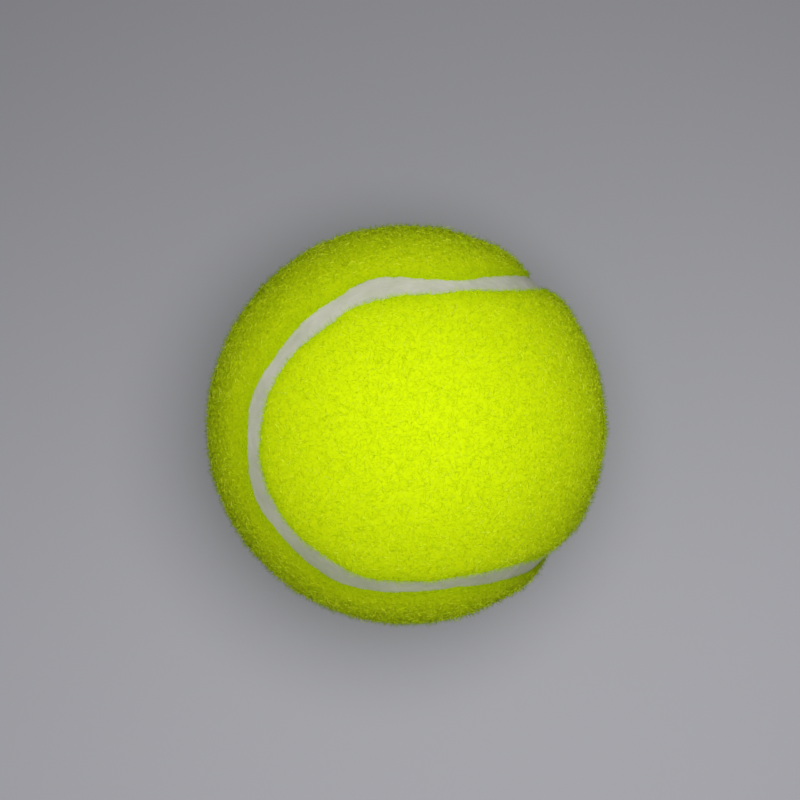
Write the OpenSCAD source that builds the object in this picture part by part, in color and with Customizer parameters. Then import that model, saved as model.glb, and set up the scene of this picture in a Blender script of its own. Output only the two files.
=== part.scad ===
// Tennis ball. Two moulded rubber half shells make a sealed hollow core. Two felt cloths, each cut
// to a dog-bone of two round lobes and a narrow waist, close round it at right angles to each
// other, and one closed band of rubber cement fills the seam between them.
// The origin is the centre of the ball. The X axis runs through the middles of both waists.

/* [Ball] */
// Diameter of the ball over the nap of the felt
ball_d = 67; // [64:0.1:70]

/* [Core] */
// Wall of the two moulded rubber half shells
core_wall = 3.3; // [2.5:0.1:4.5]
// Thickness of the cement film between the rims of the half shells
film_t = 0.25; // [0.15:0.05:0.6]
// Radius of the cement bead that the joint squeezes into the hollow
bead_r = 0.8; // [0.4:0.1:1.6]
// Thickness of the rubber solution coat round the core
coat_t = 0.15; // [0.1:0.05:0.4]

/* [Cloth] */
// Thickness of the felt, nap included
felt_t = 3; // [2.4:0.1:4]
// Thickness of the rubber coat on the back of the cloth
backing_t = 0.25; // [0.15:0.05:0.6]
// Width of the waist, measured round the ball between the middles of the seam
waist_w = 51; // [46:0.5:56]
// How far the seam swings out round the lobes, as the share of its third harmonic
lobe_swing = 0.2; // [0.16:0.01:0.24]
// Width of the nap that rolls down beside the seam
roll_w = 2.4; // [1:0.1:4]
// How far the cut edge of the felt lies below the nap
roll_drop = 0.9; // [0.3:0.1:1.6]

/* [Seam] */
// Width of the cement between the two cut edges
seam_w = 3.2; // [1.6:0.1:5]
// How far the cement lies below the cut edges
seam_sink = 0.1; // [0.05:0.05:0.5]

/* [Hidden] */

// Radii, from the nap inwards: each layer lies on the one below it
ball_r = ball_d / 2;
felt_inner_r = ball_r - felt_t;
backing_inner_r = felt_inner_r - backing_t;
core_r = backing_inner_r - coat_t;
hollow_r = core_r - core_wall;

// The cut edges stand a little above the cement between them
cut_edge_r = ball_r - roll_drop;
seam_r = cut_edge_r - seam_sink;

// Proportions of the seam curve, which give the waist its width
half_waist_angle = waist_w / ball_d * 180 / PI;
round_share = 1 - lobe_swing;
waist_depth = (round_share - lobe_swing) / tan(half_waist_angle);

// Divisions: round the seam, over the rolled edge, across the cloth and round a circle
seam_steps = 120;
roll_steps = 4;
cloth_steps = 12;
circle_steps = 120;

// The cutter reaches this many ball radii at its outline and at its tip, clear of the nap
cutter_reach = 2;
cutter_tip = 4;

rubber_black = [0.16, 0.16, 0.17];
rubber_amber = [0.55, 0.47, 0.33];
rubber_grey = [0.66, 0.67, 0.6];
felt_yellow = [0.74, 0.84, 0.05];

function unit(v) = v / norm(v);

// Angle at the centre of the ball that spans this length of arc on its surface
function arc_angle(length) = length / ball_r * 180 / PI;

// Direction of the seam's middle line. The parameter runs once round the seam in 360 degrees: at 0
// and 180 it turns round a lobe of the right cloth, and at 90 and 270 it passes its waist.
function seam_direction(s) = unit([
    -waist_depth * cos(2 * s),
    round_share * sin(s) + lobe_swing * sin(3 * s),
    round_share * cos(s) - lobe_swing * cos(3 * s),
]);

// Along the seam, in the direction of growing s
function seam_tangent(s) = seam_direction(s + 0.5) - seam_direction(s - 0.5);

// Square to the seam, pointing into the right cloth
function into_cloth(s) = unit(cross(seam_tangent(s), seam_direction(s)));

// Direction of a point that lies this far from the seam's middle line, inside the right cloth
function inset_direction(s, inset) =
    seam_direction(s) * cos(arc_angle(inset)) + into_cloth(s) * sin(arc_angle(inset));

// Point of the way from direction p to direction q along the great circle through both
function between(p, q, part) =
    let (angle = acos(p * q))
    (p * sin((1 - part) * angle) + q * sin(part * angle)) / sin(angle);

function seam_parameter(i) = 360 * i / seam_steps;

// The rolled edge is a quarter ellipse, from the cut edge at step 0 up to the nap
function roll_inset(k) = seam_w / 2 + roll_w * (1 - cos(90 * k / roll_steps));
function roll_radius(k) = ball_r - roll_drop * (1 - sin(90 * k / roll_steps));

// Vertex numbers on the nap side: the rings of the rolled edge, then the rows across the cloth.
// A row is a great circle from one side of the cloth to its mirror image on the other side.
function ring_vertex(k, i) = k * seam_steps + i % seam_steps;
function row_vertex(i, j) =
    i == 0 || j == 0 ? ring_vertex(roll_steps, i)
    : i == seam_steps / 2 || j == cloth_steps ? ring_vertex(roll_steps, seam_steps - i)
    : (roll_steps + 1) * seam_steps + (i - 1) * (cloth_steps - 1) + j - 1;

// Solid of the right cloth down to the centre of the ball: nap, rolled edge and cut edge
module cloth_blank() {
    rings = [
        for (k = [0:roll_steps], i = [0:seam_steps - 1])
            roll_radius(k) * inset_direction(seam_parameter(i), roll_inset(k))
    ];
    rows = [
        for (i = [1:seam_steps / 2 - 1], j = [1:cloth_steps - 1])
            let (near = inset_direction(seam_parameter(i), roll_inset(roll_steps)))
            let (far = inset_direction(-seam_parameter(i), roll_inset(roll_steps)))
            ball_r * between(near, far, j / cloth_steps)
    ];
    centre = len(rings) + len(rows);
    cut_faces = [
        for (i = [0:seam_steps - 1])
            [centre, ring_vertex(0, i), ring_vertex(0, i + 1)]
    ];
    roll_faces = [
        for (k = [0:roll_steps - 1], i = [0:seam_steps - 1])
            each [
                [ring_vertex(k, i), ring_vertex(k + 1, i), ring_vertex(k + 1, i + 1)],
                [ring_vertex(k, i), ring_vertex(k + 1, i + 1), ring_vertex(k, i + 1)],
            ]
    ];
    first_halves = [
        for (i = [1:seam_steps / 2 - 1], j = [0:cloth_steps - 1])
            [row_vertex(i, j), row_vertex(i, j + 1), row_vertex(i + 1, j)]
    ];
    second_halves = [
        for (i = [0:seam_steps / 2 - 2], j = [0:cloth_steps - 1])
            [row_vertex(i, j + 1), row_vertex(i + 1, j + 1), row_vertex(i + 1, j)]
    ];
    polyhedron(
        points = concat(rings, rows, [[0, 0, 0]]),
        faces = concat(cut_faces, roll_faces, first_halves, second_halves)
    );
}

// Knife for the right cloth: a cone from the centre of the ball through the cut edge
module cloth_cutter() {
    outline = [
        for (i = [0:seam_steps - 1])
            cutter_reach * ball_r * inset_direction(seam_parameter(i), seam_w / 2)
    ];
    tip = [cutter_tip * ball_r, 0, 0];
    sides = [for (i = [0:seam_steps - 1]) [seam_steps, i, (i + 1) % seam_steps]];
    cap = [for (i = [0:seam_steps - 1]) [seam_steps + 1, (i + 1) % seam_steps, i]];
    polyhedron(points = concat(outline, [[0, 0, 0], tip]), faces = concat(sides, cap));
}

// Half a turn that lays the right cloth where the left one goes, with its waist at -X
module to_left() {
    rotate(a = 180, v = [0, 1, 1]) children();
}

// Ball whose poles and first meridian lie in the left cloth, clear of the right one
module turned_ball(r) {
    rotate([90, 0, 180]) sphere(r = r, $fn = circle_steps);
}

module shell(inner_r, outer_r) {
    difference() {
        turned_ball(outer_r);
        turned_ball(inner_r);
    }
}

// Cross-section of the core's wall, right of the Z axis
module wall_section() {
    difference() {
        circle(r = core_r, $fn = circle_steps);
        circle(r = hollow_r, $fn = circle_steps);
    }
}

module core_half_upper() {
    color(rubber_black)
        rotate_extrude($fn = circle_steps)
            intersection() {
                wall_section();
                translate([0, film_t / 2]) square(core_r);
            }
}

module core_half_lower() {
    mirror([0, 0, 1]) core_half_upper();
}

module core_joint_cement() {
    color(rubber_amber)
        rotate_extrude($fn = circle_steps) {
            intersection() {
                wall_section();
                translate([0, -film_t / 2]) square([core_r, film_t]);
            }
            intersection() {
                circle(r = hollow_r, $fn = circle_steps);
                translate([hollow_r, 0]) circle(r = bead_r, $fn = circle_steps);
            }
        }
}

module core_solution_coat() {
    color(rubber_amber) shell(core_r, backing_inner_r);
}

module panel_backing_right() {
    color(rubber_grey)
        intersection() {
            shell(backing_inner_r, felt_inner_r);
            cloth_cutter();
        }
}

module panel_backing_left() {
    to_left() panel_backing_right();
}

module felt_panel_right() {
    color(felt_yellow)
        difference() {
            cloth_blank();
            turned_ball(felt_inner_r);
        }
}

module felt_panel_left() {
    to_left() felt_panel_right();
}

// One closed band, swept along the seam. Its corners at the bottom stand proud of the coat by so
// much that the middles of its flat facets touch the coat.
module seam_cement() {
    sides = [for (edge = [-1, 0, 1]) edge * seam_w / 2];
    station_angle = acos(seam_direction(0) * seam_direction(360 / seam_steps));
    floor_r = backing_inner_r / cos(station_angle / 2) / cos(arc_angle(seam_w / 4));
    corners = len(sides) * 2;
    points = [
        for (i = [0:seam_steps - 1])
            each [
                for (inset = sides) seam_r * inset_direction(seam_parameter(i), inset),
                for (inset = sides) floor_r * inset_direction(seam_parameter(i), -inset),
            ]
    ];
    function corner(i, k) = (i % seam_steps) * corners + k % corners;
    faces = [
        for (i = [0:seam_steps - 1], k = [0:corners - 1])
            each [
                [corner(i, k), corner(i + 1, k), corner(i + 1, k + 1)],
                [corner(i, k), corner(i + 1, k + 1), corner(i, k + 1)],
            ]
    ];
    color(rubber_grey) polyhedron(points = points, faces = faces);
}

core_half_upper();
core_half_lower();
core_joint_cement();
core_solution_coat();
panel_backing_right();
panel_backing_left();
felt_panel_right();
felt_panel_left();
seam_cement();
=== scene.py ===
import math
from dataclasses import dataclass

import bpy
import numpy as np
from mathutils import Matrix, Vector


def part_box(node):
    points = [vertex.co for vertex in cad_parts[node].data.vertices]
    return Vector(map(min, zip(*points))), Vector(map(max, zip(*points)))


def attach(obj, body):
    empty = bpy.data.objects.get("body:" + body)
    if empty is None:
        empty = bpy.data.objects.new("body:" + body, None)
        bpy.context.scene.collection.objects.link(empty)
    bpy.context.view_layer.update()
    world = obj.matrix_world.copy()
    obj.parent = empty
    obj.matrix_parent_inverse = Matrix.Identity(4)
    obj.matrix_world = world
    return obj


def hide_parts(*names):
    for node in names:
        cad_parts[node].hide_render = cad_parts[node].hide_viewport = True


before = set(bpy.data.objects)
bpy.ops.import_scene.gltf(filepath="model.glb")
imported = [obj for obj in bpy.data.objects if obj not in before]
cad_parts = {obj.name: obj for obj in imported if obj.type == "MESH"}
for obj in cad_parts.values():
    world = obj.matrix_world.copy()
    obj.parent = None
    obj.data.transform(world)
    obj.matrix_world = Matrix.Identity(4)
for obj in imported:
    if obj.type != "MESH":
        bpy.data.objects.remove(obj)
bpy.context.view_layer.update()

MM = 0.001

# Seeds of what is random: the whole, the two halves of felt, and the step between sets of fibres
SEED = 7
RIGHT_SEED = 100
LEFT_SEED = 200
SET_STEP = 10

# Radii of the layers, read from the solids
BALL_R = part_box("felt_panel_right")[1].x
CLOTH_INNER_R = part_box("panel_backing_right")[1].x
CEMENT_RADII = [v.co.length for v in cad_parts["seam_cement"].data.vertices]
CEMENT_TOP_R = max(CEMENT_RADII)
CEMENT_FLOOR_R = min(CEMENT_RADII)

# Shape of the seam's middle line, as in the solids
WAIST_W = 51 * MM
LOBE_SWING = 0.2
SEAM_W = 3.2 * MM

# The ground of the cloth, in which the nap's fibres root, and its roll beside the seam
GROUND_R = BALL_R - 0.12 * MM
ROLL_W = 4.0 * MM
ROLL_DROP = 0.78 * MM

# How far back from the seam's middle line the two hand-laid cut edges lie on the whole
RIGHT_EDGE = 2.07 * MM
LEFT_EDGE = 1.8 * MM

# Where the edges stray from that: place and spread in degrees along the seam, and how much further
# back the edge lies there, in millimetres
RIGHT_EDGE_PULLS = (
    (-74.5, 2.4, -1.0), (-55, 3.5, 0.3), (-48, 3, -0.3), (-42, 3, -0.2), (-34, 4, -1.1),
    (-14, 3, -0.3), (-2, 3, -0.3), (6, 5, 0.3), (22, 6, 0.25), (30, 3, 0.3),
    (36, 3, -0.9), (45, 4, -0.85), (61, 4, -0.45),
    (92, 6, 0.5), (112, 8, 0.3), (141, 5, -0.8), (168, 7, 0.4), (203, 5, -1.0), (232, 9, 0.4),
    (262, 4, -0.6),
)
LEFT_EDGE_PULLS = (
    (-77, 6, 1.8), (-62, 3, 0.3), (-53, 5, -0.75), (-29, 6.2, 1.55), (-8, 3.2, 1.0), (2, 3, -0.5),
    (18, 4, -1.0), (42, 5.5, 2.1), (60, 5, -0.85),
    (104, 6, -0.8), (128, 5, 1.4), (157, 8, -0.7), (186, 4, 1.1), (219, 6, -0.8), (248, 5, 1.3),
)

# Fine ripples of both cut edges: how many go round the seam, and how high they are in millimetres
EDGE_RIPPLES = ((37, 0.05), (61, 0.05), (97, 0.06), (163, 0.05), (237, 0.05))


# The seam

def unit(v):
    return v / np.linalg.norm(v, axis=-1, keepdims=True)


def seam_direction(s):
    """Direction of the seam's middle line at s radians, an array."""
    depth = (1 - 2 * LOBE_SWING) / math.tan(WAIST_W / BALL_R / 2)
    around = 1 - LOBE_SWING
    return unit(np.stack([
        -depth * np.cos(2 * s),
        around * np.sin(s) + LOBE_SWING * np.sin(3 * s),
        around * np.cos(s) - LOBE_SWING * np.cos(3 * s),
    ], axis=-1))


def into_right_cloth(s):
    """Direction along the ball, square to the seam, that leads into the right cloth."""
    step = 0.005
    tangent = seam_direction(s + step) - seam_direction(s - step)
    return unit(np.cross(tangent, seam_direction(s)))


def inset_direction(s, inset):
    """Direction that lies inset metres, along the ball, from the middle line into the right cloth."""
    angle = (inset / BALL_R)[..., None]
    return seam_direction(s) * np.cos(angle) + into_right_cloth(s) * np.sin(angle)


def edge_distance(s, on_the_whole, pulls, seed):
    """How far a hand-laid cut edge lies from the seam's middle line, in metres."""
    phases = np.random.default_rng(seed).uniform(0, 2 * math.pi, len(EDGE_RIPPLES))
    far = np.full(s.shape, on_the_whole / MM)
    for place, spread, pull in pulls:
        away = (np.degrees(s) - place + 180) % 360 - 180
        far += pull * np.exp(-0.5 * (away / spread) ** 2)
    for (waves, height), phase in zip(EDGE_RIPPLES, phases):
        far += height * np.sin(waves * s + phase)
    return far * MM


def right_edge(s):
    return edge_distance(s, RIGHT_EDGE, RIGHT_EDGE_PULLS, SEED)


def left_edge(s):
    return edge_distance(s, LEFT_EDGE, LEFT_EDGE_PULLS, SEED + 1)


def left_edge_laid_right(s):
    """The left cloth's cut edge while it still lies in the right one's place, before its half turn."""
    return left_edge(math.pi / 2 - s)


# Lumps and meshes

def random_field(points, wavelength, seed, waves=48):
    """Smooth random heights of about -2 to 2 at points: the sum of waves in all directions, whose
    lengths lie round one wavelength."""
    rng = np.random.default_rng(seed)
    directions = unit(rng.normal(size=(waves, 3))) * rng.uniform(0.6, 1.4, (waves, 1))
    phases = rng.uniform(0, 2 * math.pi, waves)
    total = np.zeros(len(points))
    for direction, phase in zip(directions, phases):
        total += np.cos(points @ direction * (2 * math.pi / wavelength) + phase)
    return total * math.sqrt(2 / waves)


def lumps_at(points, lumps, seed):
    """Height of the lumps at points, in metres. Each kind of lump has its height and its wavelength
    in millimetres, and what it adds to the seed."""
    total = 0
    for height, wavelength, seed_step in lumps:
        total = total + height * random_field(points, wavelength * MM, seed + seed_step)
    return total * MM


def new_object(name, points, faces):
    """Smooth piece whose object sits at the origin."""
    mesh = bpy.data.meshes.new(name)
    mesh.from_pydata(points, [], faces)
    mesh.validate()
    mesh.shade_smooth()
    piece = bpy.data.objects.new(name, mesh)
    bpy.context.scene.collection.objects.link(piece)
    return piece


def closed_quads(rows, columns):
    """Faces between closed rings of points; each row of columns points is one ring."""
    i, j = np.meshgrid(np.arange(rows - 1), np.arange(columns), indexing="ij")
    here = i * columns + j
    right = i * columns + (j + 1) % columns
    return np.stack([here, here + columns, right + columns, right], axis=-1).reshape(-1, 4)


def write_values(mesh, name, values):
    """Keeps one value for each point as an attribute of the mesh."""
    mesh.attributes.new(name, "FLOAT", "POINT").data.foreach_set("value", values.astype(np.float32))


def take_values(mesh, name):
    """Reads an attribute and takes it off the mesh."""
    values = np.zeros(len(mesh.vertices), np.float32)
    mesh.attributes[name].data.foreach_get("value", values)
    mesh.attributes.remove(mesh.attributes[name])
    return values


def points_of(mesh):
    points = np.zeros(len(mesh.vertices) * 3, np.float32)
    mesh.vertices.foreach_get("co", points)
    return points.reshape(-1, 3).astype(float)


# Felt cloth

# Points round the cut edge, and rings of them up the cut wall and over the roll
STATIONS = 600
WALL_RINGS = 3
ROLL_RINGS = 12
RING_COUNT = WALL_RINGS + ROLL_RINGS + 1

# Points in a row across the nap, and in one across the underside
NAP_ROW = 73
UNDER_ROW = 9

# The cloth's points come in this order: the wall's end here, the roll's here and the nap's here,
# and the underside's are the last
WALL_END = WALL_RINGS * STATIONS
ROLL_END = RING_COUNT * STATIONS
NAP_END = ROLL_END + (STATIONS // 2 - 1) * (NAP_ROW - 2)

# How far each ring lies from the cut edge to the roll's far side, as a share
ACROSS_ROLL = 1 - np.cos(np.linspace(0, math.pi / 2, ROLL_RINGS + 1))

# The nap's lumps: height and wavelength in millimetres, and seed step. At the cut edge they are lower.
NAP_LUMPS = ((0.10, 10, 0), (0.04, 4.5, 2), (0.015, 2.6, 1))
LUMPS_AT_EDGE = 0.25

# At the cut edge the nap has these shares of its density and its length. The density rises from
# there by so much over the roll, until it is full.
DENSITY_AT_EDGE = 0.6
DENSITY_RISE = 2
LENGTH_AT_EDGE = 0.65

# How many times denser the fringe is at the cut edge, and how steeply the fringe, the hem and the
# roll's shade fall off from there
FRINGE_GAIN = 9
FRINGE_FALL = 4
HEM_FALL = 6
SHADE_FALL = 1.5


def between(near, far, share):
    """Points on the great circle from near to far directions, at each share of the way."""
    angle = np.arccos(np.clip((near * far).sum(-1, keepdims=True), -1, 1))
    # Never quite zero, because it is divided by
    angle = np.maximum(angle, 1e-6)
    return (near * np.sin((1 - share) * angle) + far * np.sin(share * angle)) / np.sin(angle)


def rows_across(ring, columns):
    """Points in rows across a ring, each row from one of its points to the one opposite. The ring's
    own points are left out, and it turns at its points 0 and half way."""
    total = len(ring)
    share = np.linspace(0, 1, columns)[1:-1, None]
    return np.concatenate([
        between(unit(ring[i]), unit(ring[total - i]), share) * np.linalg.norm(ring[i])
        for i in range(1, total // 2)
    ])


def faces_across(ring_start, rows_start, columns):
    """Faces between the rows across a ring. Both are told by the numbers of their first points."""
    half = STATIONS // 2

    def point(i, j):
        if i in (0, half) or j == 0:
            return ring_start + i
        if j == columns - 1:
            return ring_start + STATIONS - i
        return rows_start + (i - 1) * (columns - 2) + j - 1

    faces = []
    for i in range(half):
        for j in range(columns - 1):
            corners = [point(i, j), point(i, j + 1), point(i + 1, j + 1), point(i + 1, j)]
            faces.append(list(dict.fromkeys(corners)))
    return faces


def edge_rings(edge):
    """Points of the rings up the cut wall and over the roll."""
    s = np.linspace(0, 2 * math.pi, STATIONS, endpoint=False)
    cut = edge(s)
    rings = []
    for k in range(WALL_RINGS):
        radius = CLOTH_INNER_R + (GROUND_R - ROLL_DROP - CLOTH_INNER_R) * k / WALL_RINGS
        rings.append(inset_direction(s, cut) * radius)
    # The roll's far side keeps one distance from the seam, however the cut edge strays
    far = cut.mean() + ROLL_W
    for share in ACROSS_ROLL:
        radius = GROUND_R - ROLL_DROP * (1 - math.sin(math.pi / 2 * share))
        rings.append(inset_direction(s, cut + (far - cut) * share) * radius)
    return np.concatenate(rings)


def with_lumps(points, seed):
    """The cloth's points with the lumps of the nap, lower where it is pulled down at the seam."""
    lumps = lumps_at(points, NAP_LUMPS, seed)
    up = np.clip((np.linalg.norm(points, axis=1) - (GROUND_R - ROLL_DROP)) / ROLL_DROP, 0, 1)
    lumps *= LUMPS_AT_EDGE + (1 - LUMPS_AT_EDGE) * up
    lumps[:WALL_END] = 0
    lumps[NAP_END:] = 0
    return points + unit(points) * lumps[:, None]


def write_nap_values(mesh):
    """How densely each kind of fibre stands and how long it is, less at the cut edge and none below
    it, and how deep in the roll a place lies."""
    ring_of = np.arange(ROLL_END) // STATIONS
    share = np.ones(len(mesh.vertices))
    share[:ROLL_END] = np.clip((ring_of - WALL_RINGS) / ROLL_RINGS, 0, 1)
    density = np.clip(DENSITY_AT_EDGE + share * DENSITY_RISE, 0, 1)
    density[:WALL_END - STATIONS] = 0
    density[NAP_END:] = 0
    rolled = np.zeros(len(share))
    rolled[:WALL_END] = 1
    rolled[WALL_END:ROLL_END] = np.repeat((1 - ACROSS_ROLL) ** SHADE_FALL, STATIONS)
    write_values(mesh, "nap_density", density)
    write_values(mesh, "fringe_density", density * (1 + FRINGE_GAIN * (1 - share) ** FRINGE_FALL))
    write_values(mesh, "hem_density", density * (1 - share) ** HEM_FALL)
    write_values(mesh, "nap_length", LENGTH_AT_EDGE + (1 - LENGTH_AT_EDGE) * share)
    write_values(mesh, "rolled", rolled)


def cloth(name, edge, seed):
    """Closed felt cloth in the right cloth's place: cut edge, rolled edge, nap and underside."""
    rings = edge_rings(edge)
    last_ring = ROLL_END - STATIONS
    points = np.concatenate([
        rings,
        rows_across(rings[last_ring:], NAP_ROW),
        rows_across(rings[:STATIONS], UNDER_ROW),
    ])
    faces = closed_quads(RING_COUNT, STATIONS).tolist()
    faces += faces_across(last_ring, ROLL_END, NAP_ROW)
    faces += [face[::-1] for face in faces_across(0, NAP_END, UNDER_ROW)]
    piece = new_object(name, with_lumps(points, seed), faces)
    write_nap_values(piece.data)
    return piece


# Fibres of the nap

# How deep the fibres' ends sit in the ground, how far their heading strays, in radians, how many
# half waves their bend has, from the least to the greatest, and how thin they are at the ends
ROOT_DEPTH = 0.04 * MM
HEADING_SPREAD = 0.2
BEND_WAVES = (1, 2.2)
THIN_END = 0.75

# Each fibre is planted at a size between these shares of its own
LEAST_SIZE = 0.8
GREATEST_SIZE = 1.2

# A fibre lies along the map, and its place up the map is its tone: half the width of its strip
# there, and how far all keep off the map's rim
HALF_STRIP = 0.006
MAP_MARGIN = 0.01

# Tones drift by so much, in patches of this size, and are so much deeper in the roll
PATCH_SIZE = 11 * MM
PATCH_TONE = 0.05
PATCH_SEED = SEED + 40
# The roll's deeper tone is partly cement soak and partly painted shade where the roll dips by the seam
ROLL_TONE = 0.22


@dataclass
class Fibres:
    """A kind of fibre. Sizes are in millimetres, and a pair is the least and the greatest."""
    # Name of its finish
    finish: str
    # How many sets of it are laid over each cloth, and how many of them cast a shadow, since hair
    # this fine lets most of the light through
    sets: int
    shading_sets: int
    # How many stand on a square millimetre in each set, and the cloth's values that say where
    density: float
    where: str
    # How far it tips over, in radians, and how light it is, from 0 to 1
    tilt: float
    tones: tuple
    # How many different ones there are, and how many rings of points each has
    shapes: int
    rings: int
    # How sharply it bends, how long it is, how high its middle is lifted, how high its free end
    # stands and how thick it is
    curl: float
    length: tuple
    lift: tuple
    free_end: tuple
    thickness: tuple
    # Whether it starts at its place on the cloth, or lies across it
    rooted: bool = False


NAP = {
    "matted": Fibres(
        finish="felt_fibres", sets=2, shading_sets=1, density=3.0, where="nap_density",
        tilt=0.12, tones=(0.36, 0.58), shapes=40, rings=1, curl=1.6,
        length=(0.7, 1.5), lift=(0.02, 0.10), free_end=(-0.03, 0.05), thickness=(0.055, 0.075),
    ),
    "curled": Fibres(
        finish="curl_fibres", sets=1, shading_sets=0, density=1.8, where="nap_density",
        tilt=0.15, tones=(0.05, 0.95), shapes=40, rings=2, curl=1.5,
        length=(0.6, 1.3), lift=(0.20, 0.42), free_end=(0.0, 0.30), thickness=(0.055, 0.080),
    ),
    "standing": Fibres(
        finish="fringe_fibres", sets=2, shading_sets=0, density=1.75, where="fringe_density",
        tilt=0.50, tones=(0.00, 1.00), shapes=40, rings=2, curl=1.5,
        length=(0.6, 1.2), lift=(0.05, 0.20), free_end=(0.40, 1.25), thickness=(0.050, 0.065),
    ),
    "hem": Fibres(
        finish="fringe_fibres", sets=1, shading_sets=0, density=14, where="hem_density",
        tilt=0.80, tones=(0.35, 1.00), shapes=24, rings=2, curl=1.2,
        length=(0.2, 0.9), lift=(-0.1, 0.2), free_end=(0.7, 2.0), thickness=(0.050, 0.070),
        rooted=True,
    ),
    "stray": Fibres(
        finish="stray_hair", sets=1, shading_sets=0, density=0.05, where="nap_density",
        tilt=0.25, tones=(0.00, 1.00), shapes=24, rings=5, curl=1.2,
        length=(1.2, 2.6), lift=(0.3, 0.6), free_end=(0.3, 1.4), thickness=(0.035, 0.050),
    ),
}


def fibre_path(rng, kind, length, lift, free_end):
    """Middle line of a fibre along X over Z = 0, and how far along it each of its points lies."""
    share = np.linspace(0, 1, kind.rings + 2)
    even_bend = rng.normal(0, kind.curl)
    bend = even_bend + rng.normal(0, kind.curl) * np.cos(share * math.pi * rng.uniform(*BEND_WAVES))
    heading = np.cumsum(bend) / len(share) + rng.normal(0, HEADING_SPREAD)
    stride = length / (kind.rings + 1)
    x = np.concatenate([[0], np.cumsum(np.cos(heading[1:]) * stride)])
    y = np.concatenate([[0], np.cumsum(np.sin(heading[1:]) * stride)])
    z = np.sin(share * math.pi) * lift + share ** 2 * free_end - ROOT_DEPTH
    if not kind.rooted:
        x -= x.mean()
        y -= y.mean()
    return np.stack([x, y, z], axis=1), share


def fibre(name, path, share, thickness):
    """Closed, three-sided fibre round its path, thin at both ends."""
    heading = unit(np.gradient(path, axis=0))
    side = unit(np.cross(heading, [0, 0, 1]))
    over = np.cross(side, heading)
    radius = thickness / 2 * (THIN_END + (1 - THIN_END) * np.sin(math.pi * share))
    turn = (2 * math.pi * np.arange(3) / 3 + math.pi / 2)[:, None]
    rings = [
        path[i] + radius[i] * (np.cos(turn) * side[i] + np.sin(turn) * over[i])
        for i in range(1, len(path) - 1)
    ]
    points = np.concatenate([path[:1], *rings, path[-1:]])
    last = len(points) - 1
    faces = []
    for c in range(3):
        d = (c + 1) % 3
        faces.append([0, 1 + d, 1 + c])
        for start in range(1, last - 3, 3):
            faces.append([start + c, start + d, start + 3 + d, start + 3 + c])
        faces.append([last, last - 3 + c, last - 3 + d])
    mesh = bpy.data.meshes.new(name)
    mesh.from_pydata(points, [], faces)
    mesh.shade_smooth()
    write_values(mesh, "along", np.concatenate([[0], np.repeat(share[1:-1], 3), [1]]))
    write_values(mesh, "around", np.concatenate([[0], np.tile([-1, 0, 1], len(rings)), [0]]))
    return bpy.data.objects.new(name, mesh)


def fibre_set(name, kind, seed):
    """Collection of different fibres of one kind."""
    rng = np.random.default_rng(seed)
    group = bpy.data.collections.new(f"{name}_{seed}")
    for number in range(kind.shapes):
        length, lift, free_end, thickness = (
            rng.uniform(least * MM, greatest * MM)
            for least, greatest in (kind.length, kind.lift, kind.free_end, kind.thickness)
        )
        path, share = fibre_path(rng, kind, length, lift, free_end)
        group.objects.link(fibre(f"{name}_{seed}_{number}", path, share, thickness))
    return group


# What the nap's tree asks for
NAP_INPUTS = (
    ("Cloth", "NodeSocketGeometry"), ("Fibres", "NodeSocketCollection"),
    ("Density", "NodeSocketFloat"), ("Where", "NodeSocketString"),
    ("Least Size", "NodeSocketFloat"), ("Greatest Size", "NodeSocketFloat"),
    ("Tilt", "NodeSocketFloat"), ("Seed", "NodeSocketInt"), ("Finish", "NodeSocketMaterial"),
)


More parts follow.
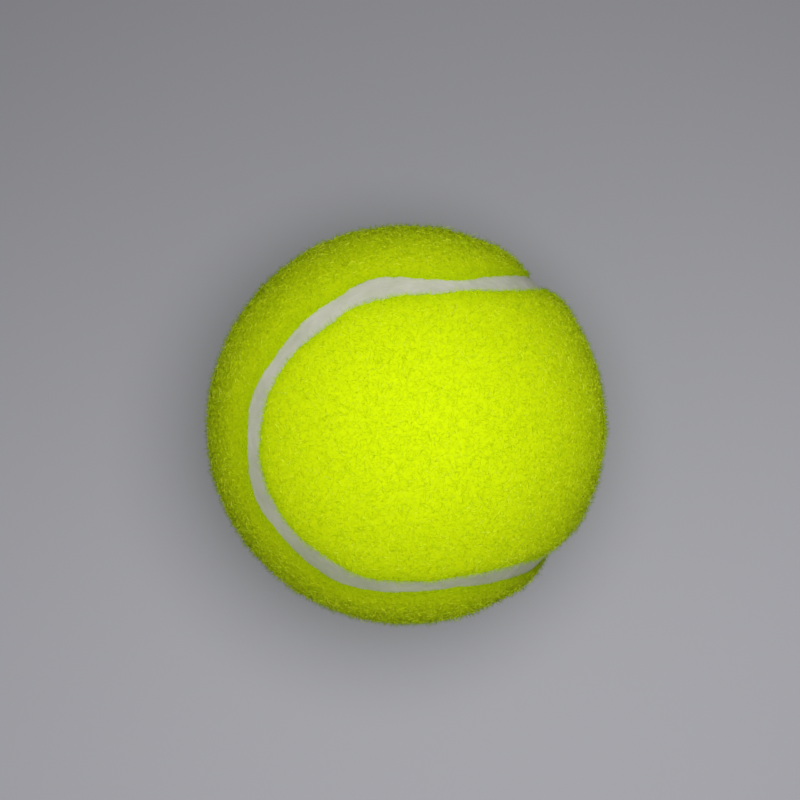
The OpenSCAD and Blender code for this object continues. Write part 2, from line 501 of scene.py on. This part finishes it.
def nap_tree():
    """Geometry nodes that plant fibres on a cloth's nap."""
    tree = bpy.data.node_groups.new("plant_nap", "GeometryNodeTree")
    for name, kind in NAP_INPUTS:
        tree.interface.new_socket(name, in_out="INPUT", socket_type=kind)
    tree.interface.new_socket("Nap", in_out="OUTPUT", socket_type="NodeSocketGeometry")

    def node(kind, **settings):
        made = tree.nodes.new(kind)
        for key, value in settings.items():
            setattr(made, key, value)
        return made

    def link(a, b):
        tree.links.new(a, b)

    given = node("NodeGroupInput").outputs

    # Points are spread over the cloth, as closely as its own values say
    thick = node("GeometryNodeInputNamedAttribute", data_type="FLOAT")
    link(given["Where"], thick.inputs["Name"])
    density = node("ShaderNodeMath", operation="MULTIPLY")
    link(given["Density"], density.inputs[0])
    link(thick.outputs["Attribute"], density.inputs[1])
    scatter = node("GeometryNodeDistributePointsOnFaces", distribute_method="RANDOM")
    link(given["Cloth"], scatter.inputs["Mesh"])
    link(density.outputs[0], scatter.inputs["Density"])
    link(given["Seed"], scatter.inputs["Seed"])

    # Each fibre is turned any way round and tipped over a little
    spin = node("FunctionNodeRandomValue", data_type="FLOAT_VECTOR")
    lean = node("ShaderNodeCombineXYZ")
    lean_back = node("ShaderNodeCombineXYZ")
    negative = node("ShaderNodeMath", operation="MULTIPLY")
    negative.inputs[1].default_value = -1
    link(given["Tilt"], negative.inputs[0])
    for axis in ("X", "Y"):
        link(given["Tilt"], lean.inputs[axis])
        link(negative.outputs[0], lean_back.inputs[axis])
    lean.inputs["Z"].default_value = 2 * math.pi
    link(lean_back.outputs[0], spin.inputs["Min"])
    link(lean.outputs[0], spin.inputs["Max"])
    link(given["Seed"], spin.inputs["Seed"])
    turned = node("FunctionNodeRotateRotation", rotation_space="LOCAL")
    link(scatter.outputs["Rotation"], turned.inputs["Rotation"])
    link(spin.outputs["Value"], turned.inputs["Rotate By"])

    # Each has its own size, and is shorter at the seam
    size = node("FunctionNodeRandomValue", data_type="FLOAT")
    link(given["Least Size"], size.inputs[2])
    link(given["Greatest Size"], size.inputs[3])
    link(given["Seed"], size.inputs["Seed"])
    length = node("GeometryNodeInputNamedAttribute", data_type="FLOAT")
    length.inputs["Name"].default_value = "nap_length"
    scale = node("ShaderNodeMath", operation="MULTIPLY")
    link(size.outputs[1], scale.inputs[0])
    link(length.outputs["Attribute"], scale.inputs[1])

    # One of the set's fibres goes on each point
    fibres = node("GeometryNodeCollectionInfo")
    link(given["Fibres"], fibres.inputs["Collection"])
    fibres.inputs["Separate Children"].default_value = True
    fibres.inputs["Reset Children"].default_value = True
    planted = node("GeometryNodeInstanceOnPoints")
    link(scatter.outputs["Points"], planted.inputs["Points"])
    link(fibres.outputs["Instances"], planted.inputs["Instance"])
    planted.inputs["Pick Instance"].default_value = True
    link(turned.outputs["Rotation"], planted.inputs["Rotation"])
    link(scale.outputs[0], planted.inputs["Scale"])

    # Each fibre keeps a tone of its own
    tone = node("FunctionNodeRandomValue", data_type="FLOAT")
    tone.inputs["Seed"].default_value = SEED
    kept = node("GeometryNodeStoreNamedAttribute", data_type="FLOAT", domain="INSTANCE")
    kept.inputs["Name"].default_value = "tone"
    link(planted.outputs["Instances"], kept.inputs["Geometry"])
    link(tone.outputs[1], kept.inputs["Value"])

    real = node("GeometryNodeRealizeInstances")
    link(kept.outputs["Geometry"], real.inputs["Geometry"])
    finish = node("GeometryNodeSetMaterial")
    link(real.outputs["Geometry"], finish.inputs["Geometry"])
    link(given["Finish"], finish.inputs["Material"])
    out = node("NodeGroupOutput")
    link(finish.outputs["Geometry"], out.inputs["Nap"])
    return tree


def lay_on_map(mesh, tones):
    """Lays each fibre of a nap along the map, at the height of its tone, from the values that the
    fibres and the cloth left on the mesh, and takes those values off it."""
    along = take_values(mesh, "along")
    around = take_values(mesh, "around")
    own_tone = take_values(mesh, "tone")
    rolled = take_values(mesh, "rolled")
    for name in ("nap_density", "fringe_density", "hem_density", "nap_length"):
        mesh.attributes.remove(mesh.attributes[name])
    patches = random_field(points_of(mesh), PATCH_SIZE, PATCH_SEED)
    tone = tones[0] + (tones[1] - tones[0]) * own_tone + PATCH_TONE * patches - ROLL_TONE * rolled
    tone = np.clip(tone, MAP_MARGIN, 1 - MAP_MARGIN)
    u = MAP_MARGIN + (1 - 2 * MAP_MARGIN) * along
    v = tone + HALF_STRIP * around
    corner_point = np.zeros(len(mesh.loops), np.int32)
    mesh.loops.foreach_get("vertex_index", corner_point)
    corners = np.stack([u, v], axis=1)[corner_point]
    mesh.uv_layers.new(name="OFBake").data.foreach_set("uv", corners.astype(np.float32).ravel())


def plant(name, cover, tree, kind, fibres, seed, finish):
    """The fibres that the tree plants on a cloth, as a plain mesh in its own piece."""
    planted = cover.copy()
    bpy.context.scene.collection.objects.link(planted)
    modifier = planted.modifiers.new("nap", "NODES")
    modifier.node_group = tree
    values = {
        "Fibres": fibres, "Density": kind.density / MM ** 2, "Where": kind.where,
        "Least Size": LEAST_SIZE, "Greatest Size": GREATEST_SIZE, "Tilt": kind.tilt,
        "Seed": seed, "Finish": finish,
    }
    for socket in tree.interface.items_tree:
        if socket.name in values:
            modifier[socket.identifier] = values[socket.name]
    bpy.context.view_layer.update()
    seen = planted.evaluated_get(bpy.context.evaluated_depsgraph_get())
    mesh = bpy.data.meshes.new_from_object(seen)
    mesh.name = name
    bpy.data.objects.remove(planted)
    lay_on_map(mesh, kind.tones)
    piece = bpy.data.objects.new(name, mesh)
    bpy.context.scene.collection.objects.link(piece)
    return piece


def grow_nap(side, cover, seed, tree, finishes):
    """The pieces of nap on one cloth, a piece for each set of fibres."""
    pieces = []
    for name, kind in NAP.items():
        for number in range(kind.sets):
            seed += SET_STEP
            fibres = fibre_set(name, kind, seed)
            piece = plant(
                f"nap_{side}_{name}_{number + 1}", cover, tree, kind, fibres, seed,
                finishes[kind.finish],
            )
            piece.visible_shadow = number < kind.shading_sets
            pieces.append(piece)
    return pieces


# Seam cement

# Points round the band, and across its top
BAND_STATIONS = 1080
TOP_POINTS = 15

# How far the cement creeps under the rolled nap on both sides, and how far its middle sags
CEMENT_TUCK = 0.35 * MM
CEMENT_SAG = 0.06 * MM

# Half the width of its foot between the backings, and the radius of the shelf above the foot
FOOT_HALF_W = SEAM_W / 2 - 0.05 * MM
SHELF_R = CLOTH_INNER_R + 0.05 * MM

# Its top's lumps: height and wavelength in millimetres, and seed step
CEMENT_LUMPS = ((0.012, 1.7, 0), (0.008, 0.7, 1), (0.030, 9, 2))
CEMENT_SEED = SEED + 20


def seam_band():
    """The cement: a foot between the backings, walls along the cut edges and an uneven top."""
    s = np.linspace(0, 2 * math.pi, BAND_STATIONS, endpoint=False)
    right = right_edge(s) + CEMENT_TUCK
    left = left_edge(s) + CEMENT_TUCK
    foot = np.full(s.shape, FOOT_HALF_W)
    columns = []
    for share in np.linspace(-1, 1, TOP_POINTS):
        place = np.where(share > 0, right * share, left * share)
        flat = inset_direction(s, place) * CEMENT_TOP_R
        lumps = lumps_at(flat, CEMENT_LUMPS, CEMENT_SEED)
        height = CEMENT_TOP_R - CEMENT_SAG * (1 - share ** 2) + lumps
        columns.append(unit(flat) * height[:, None])
    for place, radius in (
        (right, SHELF_R), (foot, SHELF_R), (foot, CEMENT_FLOOR_R),
        (-foot, CEMENT_FLOOR_R), (-foot, SHELF_R), (-left, SHELF_R),
    ):
        columns.append(inset_direction(s, place) * radius)
    count = len(columns)
    i, k = np.meshgrid(np.arange(BAND_STATIONS), np.arange(count), indexing="ij")
    j = (i + 1) % BAND_STATIONS
    m = (k + 1) % count
    faces = np.stack([i * count + k, i * count + m, j * count + m, j * count + k], axis=-1)
    points = np.stack(columns, axis=1).reshape(-1, 3)
    piece = new_object("seam_band", points, faces.reshape(-1, 4).tolist())
    # The map is laid out corner by corner, so that it closes at the band's last station
    u = np.stack([i, i, i + 1, i + 1], axis=-1) / BAND_STATIONS
    v = np.stack([k, k + 1, k + 1, k], axis=-1) / count
    corners = np.stack([u, v], axis=-1).astype(np.float32)
    piece.data.uv_layers.new(name="OFBake").data.foreach_set("uv", corners.ravel())
    return piece


# Nodes that the materials share

def grey(level):
    return (level, level, level)


WHITE = grey(1.0)


def material(name, roughness, specular):
    made = bpy.data.materials.new(name)
    made.use_nodes = True
    shader = made.node_tree.nodes["Principled BSDF"]
    shader.inputs["Roughness"].default_value = roughness
    shader.inputs["Specular IOR Level"].default_value = specular
    return made, made.node_tree, shader


def object_place(tree):
    return tree.nodes.new("ShaderNodeTexCoord").outputs["Object"]


def map_place(tree):
    made = tree.nodes.new("ShaderNodeUVMap")
    made.uv_map = "OFBake"
    return made.outputs["UV"]


def axes_of(tree, place):
    made = tree.nodes.new("ShaderNodeSeparateXYZ")
    tree.links.new(place, made.inputs["Vector"])
    return made.outputs


def share_along_y(tree, place, start, end):
    """How far a place lies from start to end along Y."""
    made = tree.nodes.new("ShaderNodeMapRange")
    made.inputs["From Min"].default_value = start
    made.inputs["From Max"].default_value = end
    tree.links.new(axes_of(tree, place)["Y"], made.inputs["Value"])
    return made.outputs["Result"]


def noise(tree, place, scale, detail):
    made = tree.nodes.new("ShaderNodeTexNoise")
    made.inputs["Scale"].default_value = scale
    made.inputs["Detail"].default_value = detail
    tree.links.new(place, made.inputs["Vector"])
    return made.outputs["Fac"]


def ramp(tree, source, *stops, interpolation="LINEAR"):
    """Colour that goes from stop to stop; each stop is a place from 0 to 1 and a colour."""
    made = tree.nodes.new("ShaderNodeValToRGB")
    colours = made.color_ramp
    colours.interpolation = interpolation
    while len(colours.elements) < len(stops):
        colours.elements.new(0.5)
    for element, (place, colour) in zip(colours.elements, stops):
        element.position = place
        element.color = (*colour, 1)
    tree.links.new(source, made.inputs["Fac"])
    return made.outputs["Color"]


def times(tree, one, other):
    mix = tree.nodes.new("ShaderNodeMix")
    mix.data_type = "RGBA"
    mix.blend_type = "MULTIPLY"
    mix.inputs["Factor"].default_value = 1
    tree.links.new(one, mix.inputs[6])
    tree.links.new(other, mix.inputs[7])
    return mix.outputs[2]


def bump_from(tree, shader, height, strength, distance):
    bump = tree.nodes.new("ShaderNodeBump")
    bump.inputs["Strength"].default_value = strength
    bump.inputs["Distance"].default_value = distance
    tree.links.new(height, bump.inputs["Height"])
    tree.links.new(bump.outputs["Normal"], shader.inputs["Normal"])


def face_outwards(tree, shader, share):
    """Lights hair that is finer than a pixel as the smooth ball under it, by this share."""
    outward = tree.nodes.new("ShaderNodeVectorMath")
    outward.operation = "NORMALIZE"
    tree.links.new(object_place(tree), outward.inputs[0])
    turned = tree.nodes.new("ShaderNodeVectorTransform")
    turned.vector_type = "NORMAL"
    turned.convert_from = "OBJECT"
    turned.convert_to = "WORLD"
    tree.links.new(outward.outputs[0], turned.inputs[0])
    own = tree.nodes.new("ShaderNodeNewGeometry").outputs["Normal"]
    both = tree.nodes.new("ShaderNodeMix")
    both.data_type = "VECTOR"
    both.inputs["Factor"].default_value = share
    tree.links.new(own, both.inputs[4])
    tree.links.new(turned.outputs[0], both.inputs[5])
    tree.links.new(both.outputs[1], shader.inputs["Normal"])


def hair_lines(tree):
    """Fine paler and deeper lines, as the hairs make that are too thin to be built."""
    made = tree.nodes.new("ShaderNodeTexNoise")
    made.noise_type = "RIDGED_MULTIFRACTAL"
    made.inputs["Scale"].default_value = 1500
    made.inputs["Detail"].default_value = 1
    made.inputs["Distortion"].default_value = 1
    tree.links.new(object_place(tree), made.inputs["Vector"])
    return ramp(tree, made.outputs["Fac"], (0.2, (0.93, 0.94, 1.0)), (0.8, WHITE))


# Materials

# Dyed felt, from its ground to its palest hairs
FELT_GROUND = (0.62, 0.795, 0.001)
FELT_GROUND_PALE = (0.67, 0.84, 0.001)
FELT_DEEP = (0.48, 0.66, 0.001)
FELT_MID = (0.59, 0.765, 0.001)
FELT_LIGHT = (0.66, 0.83, 0.002)
FELT_PALE = (0.80, 0.95, 0.03)

# Tones of each fibre finish, and by which share it is lit as the smooth ball
FIBRE_FINISHES = {
    "felt_fibres": (
        0.95, ((0.0, FELT_DEEP), (0.4, FELT_MID), (0.75, FELT_LIGHT), (1.0, FELT_PALE)),
    ),
    # The palest curls are partly paler fibres and partly painted glints of light
    "curl_fibres": (
        0.5, ((0.0, (0.62, 0.82, 0.001)), (0.5, (0.73, 0.92, 0.005)), (1.0, (0.90, 1.0, 0.06))),
    ),
    "fringe_fibres": (
        0.68, ((0.0, (0.48, 0.73, 0.001)), (0.6, (0.55, 0.80, 0.001)), (1.0, (0.70, 0.93, 0.01))),
    ),
    "stray_hair": (
        0.5, ((0.0, FELT_MID), (0.5, FELT_LIGHT), (0.85, FELT_PALE), (1.0, (0.82, 0.93, 0.12))),
    ),
}

# Deep and pale colour of each inner finish, the scale of its mottle and its roughness
RUBBER_FINISHES = {
    "core_rubber": ((0.030, 0.030, 0.032), (0.055, 0.054, 0.052), 400, 0.65),
    "core_cement": ((0.36, 0.27, 0.14), (0.48, 0.38, 0.24), 900, 0.45),
    "solution_coat": ((0.38, 0.30, 0.17), (0.46, 0.38, 0.24), 250, 0.5),
    "cloth_backing": ((0.46, 0.46, 0.37), (0.55, 0.55, 0.47), 500, 0.75),
}

# The six inner pieces, by their finish
RUBBER_PIECES = {
    "core_rubber": ("core_half_upper", "core_half_lower"),
    "core_cement": ("core_joint_cement",),
    "solution_coat": ("core_solution_coat",),
    "cloth_backing": ("panel_backing_right", "panel_backing_left"),
}

# Where along Y the cement has the most painted shade, darker and greener, and from where none
PAINTED_SHADE_START = -26 * MM
PAINTED_SHADE_END = 8 * MM

# How many streaks the cement has round the ball and across its map
STREAKS = (70, 30, 0)


def felt_finish():
    """Ground of the cloth, seen between the fibres; darker in the roll with cement soak and painted
    shade.
    """
    made, tree, shader = material("felt_ground", roughness=0.95, specular=0.06)
    fuzz = noise(tree, object_place(tree), scale=900, detail=3)
    colour = ramp(tree, fuzz, (0.3, FELT_GROUND), (0.7, FELT_GROUND_PALE))
    lined = times(tree, colour, hair_lines(tree))
    # Darker in the roll: partly cement soak, partly painted shade where the roll dips beside the seam
    rolled = tree.nodes.new("ShaderNodeAttribute")
    rolled.attribute_name = "rolled"
    soaked_and_shaded = ramp(tree, rolled.outputs["Fac"], (0.0, WHITE), (1.0, (0.84, 0.88, 1.0)))
    tree.links.new(times(tree, lined, soaked_and_shaded), shader.inputs["Base Color"])
    face_outwards(tree, shader, share=0.9)
    return made


def fibre_finish(name):
    """Fibres, each of its own tone up the map and a little deeper at both ends."""
    smooth_share, tones = FIBRE_FINISHES[name]
    made, tree, shader = material(name, roughness=0.9, specular=0.06)
    place = axes_of(tree, map_place(tree))
    tone = ramp(tree, place["Y"], *tones)
    ends = ramp(tree, place["X"], (0.0, grey(0.85)), (0.25, WHITE), (0.75, WHITE), (1.0, grey(0.9)))
    colour = times(tree, times(tree, tone, ends), hair_lines(tree))
    tree.links.new(colour, shader.inputs["Base Color"])
    face_outwards(tree, shader, smooth_share)
    return made


def cement_finish():
    """Cured seam cement: pale grey, matte and streaked, with painted shade, darker and greener towards
    -Y.
    """
    made, tree, shader = material("seam_cement_finish", roughness=0.7, specular=0.3)
    place = object_place(tree)
    colour = ramp(
        tree, noise(tree, place, scale=220, detail=4),
        (0.25, (0.50, 0.52, 0.39)), (0.5, (0.57, 0.58, 0.46)), (0.75, (0.63, 0.62, 0.53)),
    )
    # Painted shade and green bounce light, deepest towards -Y
    unshaded = share_along_y(tree, place, PAINTED_SHADE_START, PAINTED_SHADE_END)
    painted_shade = ramp(tree, unshaded, (0.0, (0.80, 0.85, 0.72)), (1.0, WHITE))
    drawn = tree.nodes.new("ShaderNodeVectorMath")
    drawn.operation = "MULTIPLY"
    drawn.inputs[1].default_value = STREAKS
    tree.links.new(map_place(tree), drawn.inputs[0])
    lines = noise(tree, drawn.outputs[0], scale=1, detail=3)
    streaks = ramp(tree, lines, (0.3, grey(0.93)), (0.7, WHITE))
    tree.links.new(times(tree, times(tree, colour, painted_shade), streaks), shader.inputs["Base Color"])
    grain = noise(tree, place, scale=1800, detail=3)
    bump_from(tree, shader, grain, strength=0.35, distance=0.08 * MM)
    return made


def rubber_finish(name):
    """Inner rubber pieces: mottled moulding or brushed coat."""
    deep, pale, scale, roughness = RUBBER_FINISHES[name]
    made, tree, shader = material(name, roughness, specular=0.4)
    mottle = noise(tree, object_place(tree), scale, detail=4)
    tree.links.new(ramp(tree, mottle, (0.3, deep), (0.7, pale)), shader.inputs["Base Color"])
    bump_from(tree, shader, mottle, strength=0.2, distance=0.05 * MM)
    return made


# Camera, light and floor

# The photograph's width, and the ball's place and radius in it, in pixels
PHOTO_SIDE = 800
BALL_PIXEL = (405.8, 424.2)
BALL_RADIUS_PIXELS = 197.8

# How far the camera stands over the ball, and how it leans about X and Y and turns about its own
# axis, in degrees
CAMERA_DISTANCE = 6.917 * BALL_R
CAMERA_LEAN = -6.294
CAMERA_TILT = 1.207
CAMERA_SPIN = -4.462
SENSOR = 36

# The lamp: a disc this wide, in metres, with its power in watts and its distance from the ball, a
# little to the camera's upper right
LAMP_WIDTH = 0.20
LAMP_POWER = 0.66
LAMP_DISTANCE = 0.27
LAMP_TOWARDS = (0.07, 0.05, 1)
SKY_STRENGTH = 0.215
BACKDROP = (0.62, 0.62, 0.65, 1)

# The floor's painted light falls off evenly from this far in front of the ball to as far behind it
FLOOR_HALF_SIDE = 1.5
FLOOR_FADE = 130 * MM
FLOOR_FRONT_LIT = (0.53, 0.53, 0.575)
FLOOR_BACK_SHADED = (0.245, 0.245, 0.268)


def set_camera():
    """Looks down on the upper lobe, a few degrees off the vertical, as the photograph does."""
    turn = Matrix.Identity(3)
    for angle, axis in ((CAMERA_LEAN, "X"), (CAMERA_TILT, "Y"), (CAMERA_SPIN, "Z")):
        turn = turn @ Matrix.Rotation(math.radians(angle), 3, axis)
    pixels_per_unit = BALL_RADIUS_PIXELS * math.sqrt((CAMERA_DISTANCE / BALL_R) ** 2 - 1)
    half = PHOTO_SIDE / 2
    yaw = math.atan((BALL_PIXEL[0] - half) / pixels_per_unit)
    pitch = math.atan((BALL_PIXEL[1] - half) / pixels_per_unit)
    aim = turn @ Matrix.Rotation(yaw, 3, "Y") @ Matrix.Rotation(pitch, 3, "X")
    data = bpy.data.cameras.new("camera")
    data.sensor_width = SENSOR
    data.lens = pixels_per_unit / PHOTO_SIDE * SENSOR
    data.clip_start = 10 * MM
    camera = bpy.data.objects.new("camera", data)
    back = turn @ Vector((0, 0, 1))
    camera.matrix_world = Matrix.Translation(back * CAMERA_DISTANCE) @ aim.to_4x4()
    bpy.context.scene.collection.objects.link(camera)
    bpy.context.scene.camera = camera
    return turn


def set_lamp(turn):
    """One soft lamp close to the lens; turn is the camera's."""
    data = bpy.data.lights.new("soft_box", "AREA")
    data.shape = "DISK"
    data.size = LAMP_WIDTH
    data.energy = LAMP_POWER
    lamp = bpy.data.objects.new("soft_box", data)
    towards = turn @ Vector(LAMP_TOWARDS).normalized()
    lamp.location = towards * LAMP_DISTANCE
    lamp.visible_camera = False
    lamp.rotation_euler = towards.to_track_quat("Z", "Y").to_euler()
    bpy.context.scene.collection.objects.link(lamp)


def set_sky():
    """A dim even sky, which the camera sees as a pale grey backdrop."""
    world = bpy.data.worlds.new("studio")
    world.use_nodes = True
    bpy.context.scene.world = world
    tree = world.node_tree
    sky = tree.nodes["Background"]
    sky.inputs["Color"].default_value = (1, 1, 1, 1)
    sky.inputs["Strength"].default_value = SKY_STRENGTH
    seen = tree.nodes.new("ShaderNodeBackground")
    seen.inputs["Color"].default_value = BACKDROP
    path = tree.nodes.new("ShaderNodeLightPath")
    mix = tree.nodes.new("ShaderNodeMixShader")
    tree.links.new(path.outputs["Is Camera Ray"], mix.inputs["Fac"])
    tree.links.new(sky.outputs[0], mix.inputs[1])
    tree.links.new(seen.outputs[0], mix.inputs[2])
    tree.links.new(mix.outputs[0], tree.nodes["World Output"].inputs["Surface"])


def set_floor():
    """A plain sheet of paper under the ball, with painted shade that makes it darker towards its far
    side.
    """
    corners = [
        (x * FLOOR_HALF_SIDE, y * FLOOR_HALF_SIDE, -BALL_R)
        for x, y in ((-1, -1), (1, -1), (1, 1), (-1, 1))
    ]
    floor = new_object("floor", corners, [[0, 1, 2, 3]])
    made, tree, shader = material("floor_paper", roughness=0.9, specular=0.2)
    place = object_place(tree)
    # Painted light: lighter in front of the ball, darker behind it
    colour = ramp(
        tree, share_along_y(tree, place, -FLOOR_FADE, FLOOR_FADE),
        (0.0, FLOOR_FRONT_LIT), (1.0, FLOOR_BACK_SHADED), interpolation="EASE",
    )
    tree.links.new(colour, shader.inputs["Base Color"])
    tooth = noise(tree, place, scale=700, detail=4)
    bump_from(tree, shader, tooth, strength=0.15, distance=0.1 * MM)
    floor.data.materials.append(made)


# The ball is put together

# Takes the right cloth's place to the left one's
HALF_TURN = Matrix.Rotation(math.pi, 4, Vector((0, 1, 1)).normalized())


view_turn = set_camera()
set_lamp(view_turn)
set_sky()
set_floor()

felt_ground = felt_finish()
fibre_finishes = {name: fibre_finish(name) for name in FIBRE_FINISHES}
planting = nap_tree()

for side, edge, seed in (
    ("right", right_edge, RIGHT_SEED), ("left", left_edge_laid_right, LEFT_SEED),
):
    cover = cloth(f"felt_{side}", edge, seed)
    cover.data.materials.append(felt_ground)
    nap_pieces = grow_nap(side, cover, seed, planting, fibre_finishes)
    for piece in (cover, *nap_pieces):
        if side == "left":
            piece.data.transform(HALF_TURN)
        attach(piece, "root")
    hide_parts(f"felt_panel_{side}")

band = seam_band()
band.data.materials.append(cement_finish())
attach(band, "root")
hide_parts("seam_cement")

for finish_name, node_names in RUBBER_PIECES.items():
    rubber = rubber_finish(finish_name)
    for node_name in node_names:
        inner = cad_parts[node_name].data
        inner.materials.clear()
        inner.materials.append(rubber)

bpy.context.scene.view_settings.view_transform = "Standard"
